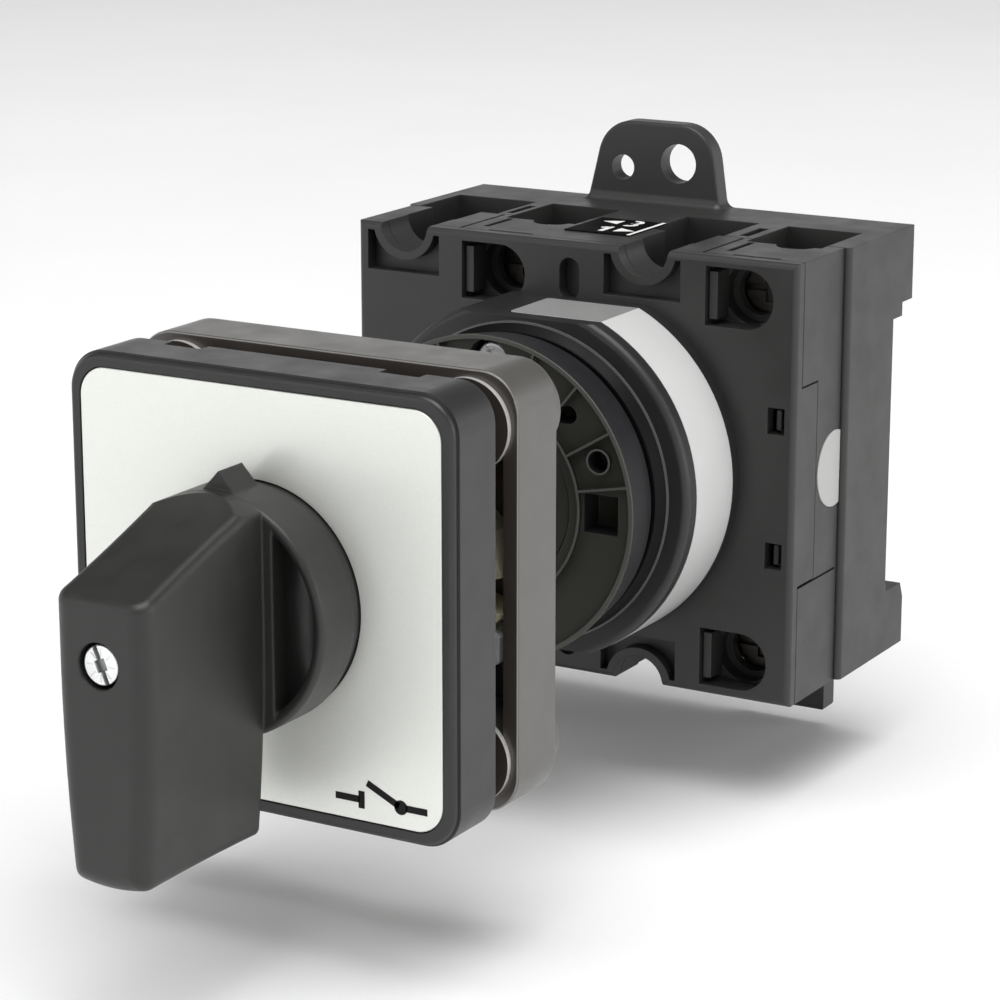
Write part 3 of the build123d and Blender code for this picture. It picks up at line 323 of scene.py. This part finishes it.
def collar_plastic(name):
    """Black collar: painted shade on its inner step, which is also less glossy, and a thin painted
    highlight line at its foot.
    """
    material = plastic(name, (0.016, 0.016, 0.017), 0.44, depth=0.000004, edge=0.00006)
    tree, shader, colour = opened(material)
    station = surface(tree, "Position", "Y")
    # Painted highlight: a thin light line at the foot of the step.
    line = ranged(tree, station, 1, 0, *COLLAR_HIGHLIGHT_LINE)
    highlight_lined = covered(tree, line, colour, (0.12, 0.12, 0.12))
    # Painted shade: the inner step in the cap's shadow is made near black.
    step = ranged(tree, station, 1, 0, *COLLAR_SHADED_STEP)
    shade_stepped = covered(tree, step, highlight_lined, (0.004, 0.004, 0.0045))
    tree.links.new(shade_stepped, shader.inputs["Base Color"])
    sheen = ranged(tree, station, 0.12, 0.5, *COLLAR_SHADED_STEP)
    tree.links.new(sheen, shader.inputs["Specular IOR Level"])
    return material


def screw_metal(name):
    """Bright zinc screw with painted shade in its slot and recess."""
    material = bright_zinc(name, 0.00005)
    tree, shader, colour = opened(material)
    # Painted shade: the slot and recess, deeper than this, are made darker.
    recess = ranged(tree, surface(tree, "Position", "Y"), 0, 1, *KNOB_SCREW_SHADED_RECESS)
    recess_shaded = covered(tree, recess, colour, (0.26, 0.26, 0.26))
    tree.links.new(recess_shaded, shader.inputs["Base Color"])
    return material


def cap_plastic(name):
    """Olive-black cap: bluish black sides, and a painted highlight on the tops of its ribs and rim.
    """
    material = plastic(name, (0.025, 0.025, 0.019), 0.48)
    tree, shader, colour = opened(material)
    side = ranged(tree, surface(tree, "Normal", "Y"), 0, 1, *CAP_SIDE_NORMAL)
    sided = covered(tree, side, colour, (0.009, 0.009, 0.011))
    # Painted highlight: the foremost rib tops and rim are made lighter.
    tops = ranged(tree, surface(tree, "Position", "Y"), 1, 0, *CAP_RIB_TOP_HIGHLIGHT)
    highlight_topped = covered(tree, tops, sided, (0.075, 0.075, 0.066))
    tree.links.new(highlight_topped, shader.inputs["Base Color"])
    return material


# ---- materials on the CAD nodes ----------------------------------------------------------------

LOOKS = [
    (plastic("knob_black", (0.0165, 0.016, 0.0152), 0.42, grain=0.0003, depth=0.000008,
             edge=0.00045),
     ["knob"]),
    (plastic("front_frame_black", (0.018, 0.018, 0.018), 0.38, depth=0.000004),
     ["bezel_frame", "bearing_sleeve"]),
    (plastic("housing_black", (0.024, 0.0236, 0.023), 0.44),
     ["contact_cover", "contact_housing", "rear_housing", "rail_latch"]),
    (collar_plastic("collar_black"), ["collar"]),
    (cap_plastic("cap_olive_black"), ["collar_cap"]),
    (plastic("coupling_black", (0.020, 0.020, 0.017), 0.46), ["drive_coupling"]),
    (clamp_plastic("clamp_grey_brown"), ["clamp_frame"]),
    (band_plastic("band_grey"), ["collar_band"]),
    (plastic("badge_grey", (0.42, 0.42, 0.415), 0.42, depth=0.000002, uneven=0.02), ["side_badge"]),
    (plastic("seal_rubber", (0.018, 0.018, 0.018), 0.7), ["door_seal"]),
    (plastic("nylon_yellow", (0.86, 0.85, 0.60), 0.45, uneven=0.04), ["lock_cam"]),
    (plastic("white_moulding", (0.92, 0.92, 0.90), 0.45, uneven=0.02), ["lock_pad"]),
    (plastic("rotor_cream", (0.50, 0.48, 0.42), 0.45, uneven=0.05),
     ["detent_wheel", "cam_rotor", "contact_carrier_left", "contact_carrier_right"]),
    (plastic("label_black", (0.003, 0.003, 0.003), 0.6, depth=0.000001, edge=0, specular=0.03),
     ["terminal_label_top", "terminal_label_bottom"]),
    (bright_zinc("zinc_screw", 0.0001), ["cap_screws", "housing_screws"]),
    (screw_metal("zinc_screw_front"), ["knob_screw"]),
    (disc_metal("zinc_disc"), ["clamp_screws"]),
    # Painted shade: the terminal screws sit deep in their windows, so their zinc is made dark.
    (metal("terminal_zinc_painted_shade", (0.12, 0.11, 0.10), 0.34, grain=0.0006, depth=0.000001),
     ["terminal_screws"]),
    (metal("drawn_steel", (0.55, 0.55, 0.54), 0.34, depth=0.000001, stretch=(1, 0.05, 1)),
     ["shaft"]),
    (metal("clamp_steel", (0.22, 0.21, 0.20), 0.40, depth=0.000001),
     ["terminal_clamps", "detent_plunger_left", "detent_plunger_right"]),
    (metal("spring_wire", (0.50, 0.50, 0.50), 0.28, depth=0.0000005, edge=0),
     ["detent_spring_left", "detent_spring_right", "contact_spring_left", "contact_spring_right",
      "latch_spring"]),
    (metal("contact_brass", (0.80, 0.58, 0.30), 0.30, depth=0.000001),
     ["fixed_contact_left_top", "fixed_contact_left_bottom", "fixed_contact_right_top",
      "fixed_contact_right_bottom", "contact_bridge_left", "contact_bridge_right"]),
    (satin_plate("plate_silver"), ["face_plate"]),
]


def dress_nodes():
    """Gives every CAD node its material."""
    for material, names in LOOKS:
        for name in names:
            for slot in nodes[name].material_slots:
                slot.material = material


# ---- springs -----------------------------------------------------------------------------------

# spring, joint that compresses it, direction, fixed end and share of its length that is left
SPRINGS = [
    ("contact_spring_left", "contact_left_slide", (1, 0, 0), (-0.0286, 0, 0), 0.80),
    ("contact_spring_right", "contact_right_slide", (1, 0, 0), (0.0261, 0, 0), 0.75),
    ("detent_spring_left", "detent_left_slide", (1, 0, 0), (-0.0146, 0, 0), 0.60),
    ("detent_spring_right", "detent_right_slide", (1, 0, 0), (0.0146, 0, 0), 0.60),
    ("latch_spring", "latch_slide", (0, 0, 1), (0, 0, -0.0248), 0.36),
]


def compress_springs():
    """Gives each spring its own copy of its mesh; nothing here shortens it as its joint moves."""
    for name, joint, axis, anchor, keep in SPRINGS:
        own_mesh(nodes[name])


# ---- printed marks -----------------------------------------------------------------------------

# Drawings and their places are in millimetres; the ink's thickness is in metres.
INK = 0.00003
LABEL_TOP = 26.75
SYMBOL_STROKE = 0.75


def plate_at(x, y, z):
    """Drawing plane on a front face: drawing x to the right, drawing y up."""
    return Matrix.Translation(Vector((x, y, z)) * MM) @ Matrix.Rotation(math.radians(90), 4, "X")


def lid_at(x, y, z):
    """Drawing plane on a top face: drawing x to the right, drawing y to the rear."""
    return Matrix.Translation(Vector((x, y, z)) * MM)


def bar(x0, y0, x1, y1, width):
    """Outline of a straight stroke."""
    along = Vector((x1 - x0, y1 - y0)).normalized()
    across = Vector((-along.y, along.x)) * width / 2
    return [(x0 - across.x, y0 - across.y), (x1 - across.x, y1 - across.y),
            (x1 + across.x, y1 + across.y), (x0 + across.x, y0 + across.y)]


def dot(x, y, radius, count=20):
    """Outline of a disc."""
    turns = [2 * math.pi * i / count for i in range(count)]
    return [(x + radius * math.cos(t), y + radius * math.sin(t)) for t in turns]


def arc_band(x, y, radius, width, start, end, steps=12):
    """Outlines of short strokes that follow an arc, angles in degrees."""
    outlines = []
    turns = [math.radians(start + (end - start) * i / steps) for i in range(steps + 1)]
    for a, b in zip(turns, turns[1:]):
        outlines.append([(x + r * math.cos(t), y + r * math.sin(t))
                         for r, t in ((radius - width / 2, a), (radius + width / 2, a),
                                      (radius + width / 2, b), (radius - width / 2, b))])
    return outlines


def print_mark(name, outlines, place, material, body="base"):
    """A thin printed mark: closed outlines in the plane of place, raised by the ink's thickness."""
    mesh = bpy.data.meshes.new(name)
    form = bmesh.new()
    for outline in outlines:
        corners = [form.verts.new(place @ Vector((x * MM, y * MM, 0))) for x, y in outline]
        raised = bmesh.ops.extrude_face_region(form, geom=[form.faces.new(corners)])
        moved = [v for v in raised["geom"] if isinstance(v, bmesh.types.BMVert)]
        bmesh.ops.translate(form, verts=moved, vec=place.to_3x3() @ Vector((0, 0, INK)))
    bmesh.ops.recalc_face_normals(form, faces=form.faces)
    form.to_mesh(mesh)
    form.free()
    mesh.materials.append(material)
    piece = bpy.data.objects.new(name, mesh)
    bpy.context.collection.objects.link(piece)
    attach(piece, body)


def print_plate_symbol():
    """General isolator symbol at the lower right of the plate."""
    ink = plastic("ink_black", (0.004, 0.004, 0.004), 0.5, depth=0.0000005, edge=0, specular=0.2)
    symbol = [bar(-5.6, -0.6, -2.6, -0.6, SYMBOL_STROKE),
              bar(-2.4, -1.55, -2.4, 0.35, SYMBOL_STROKE),
              dot(2.4, -0.6, 0.8),
              bar(-1.7, 1.35, 2.2, -0.5, SYMBOL_STROKE),
              bar(3.0, -0.6, 5.6, -0.6, SYMBOL_STROKE)]
    print_mark("plate_symbol", symbol, plate_at(14.9, -100.75, -19.4), ink)


def print_top_label():
    """Terminal numbers and arrows on the top label, with its pale edge."""
    ink = plastic("ink_white", (0.86, 0.86, 0.85), 0.5, depth=0.0000005, edge=0, uneven=0.02)
    digit_3 = arc_band(1.1, 0.8, 0.8, 0.6, -100, 120) + arc_band(1.1, -0.8, 0.8, 0.6, -120, 100)
    arrow_left = [[(-3.0, 0.0), (-0.6, -1.15), (-0.6, 1.15)]]
    print_mark("top_number_3", digit_3 + arrow_left, lid_at(-1.3, -17.9, LABEL_TOP), ink)
    digit_1 = [bar(-1.3, -1.6, -1.3, 1.6, 0.7), bar(-2.3, 0.6, -1.4, 1.4, 0.55)]
    arrow_right = [[(0.2, -1.15), (2.6, 0.0), (0.2, 1.15)]]
    print_mark("top_number_1", digit_1 + arrow_right, lid_at(-0.1, -22.6, LABEL_TOP), ink)
    edge = [bar(2.95, -25.2, 2.95, -15.55, 0.45)]
    print_mark("top_label_edge", edge, lid_at(0, 0, LABEL_TOP), ink)


# ---- stage and lights --------------------------------------------------------------------------

LATCH_REACH = 0.0025
FLOOR_GAP = 0.0002
FLOOR_HALF = 6.0

LIGHT_TARGET = Vector((0, -0.05, 0))

# name, azimuth, elevation, distance, size and power of each light
LIGHTS = [
    ("top", 40, 76, 1.95, 1.8, 44.0),
    ("side_right", 100, 15, 1.0, 0.8, 3.0),
    ("front_fill", -35, 28, 1.6, 1.0, 3.5),
]

# strength of the world's light at and below the first height, and at and above the second
HORIZON = 1.15
ZENITH = 0.12
SKY_HEIGHTS = (0.15, 0.45)


def make_stage():
    """Pale floor, just below the lowest place that the latch's foot slides to."""
    mesh = bpy.data.meshes.new("floor")
    form = bmesh.new()
    level = cad_low.z - LATCH_REACH - FLOOR_GAP
    for x, y in ((-1, -1), (1, -1), (1, 1), (-1, 1)):
        form.verts.new((x * FLOOR_HALF, y * FLOOR_HALF, level))
    form.faces.new(form.verts)
    form.to_mesh(mesh)
    form.free()
    material, tree, shader, coordinates = new_material("floor_pale")
    tone = ranged(tree, noise(tree, coordinates, 0.08, 3.0), 0, 1)
    greys = blended(tree, tone, (0.93, 0.93, 0.93), (0.95, 0.95, 0.95))
    tree.links.new(greys, shader.inputs["Base Color"])
    shader.inputs["Roughness"].default_value = 0.9
    mesh.materials.append(material)
    floor = bpy.data.objects.new("floor", mesh)
    bpy.context.collection.objects.link(floor)


def area_light(name, azimuth, elevation, distance, size, power):
    """Square soft light that faces the switch; distance and size in metres, power in watts."""
    data = bpy.data.lights.new(name, "AREA")
    data.shape = "SQUARE"
    data.size = size
    data.energy = power
    back = outward(azimuth, elevation)
    place_facing(bpy.data.objects.new(name, data), LIGHT_TARGET + back * distance, back)


def make_lights():
    """Bright low horizon, dark upper rear, a large light above and soft ones right and in front."""
    world = bpy.data.worlds.new("studio")
    world.use_nodes = True
    tree = world.node_tree
    background = tree.nodes["Background"]
    background.inputs["Color"].default_value = (1, 1, 1, 1)
    split = tree.nodes.new("ShaderNodeSeparateXYZ")
    direction = tree.nodes.new("ShaderNodeTexCoord").outputs["Generated"]
    tree.links.new(direction, split.inputs["Vector"])
    strength = ranged(tree, split.outputs["Z"], HORIZON, ZENITH, *SKY_HEIGHTS)
    tree.links.new(strength, background.inputs["Strength"])
    bpy.context.scene.world = world
    for light in LIGHTS:
        area_light(*light)


make_camera()
dress_nodes()
compress_springs()
print_plate_symbol()
print_top_label()
make_stage()
make_lights()
bpy.context.scene.view_settings.view_transform = "Standard"
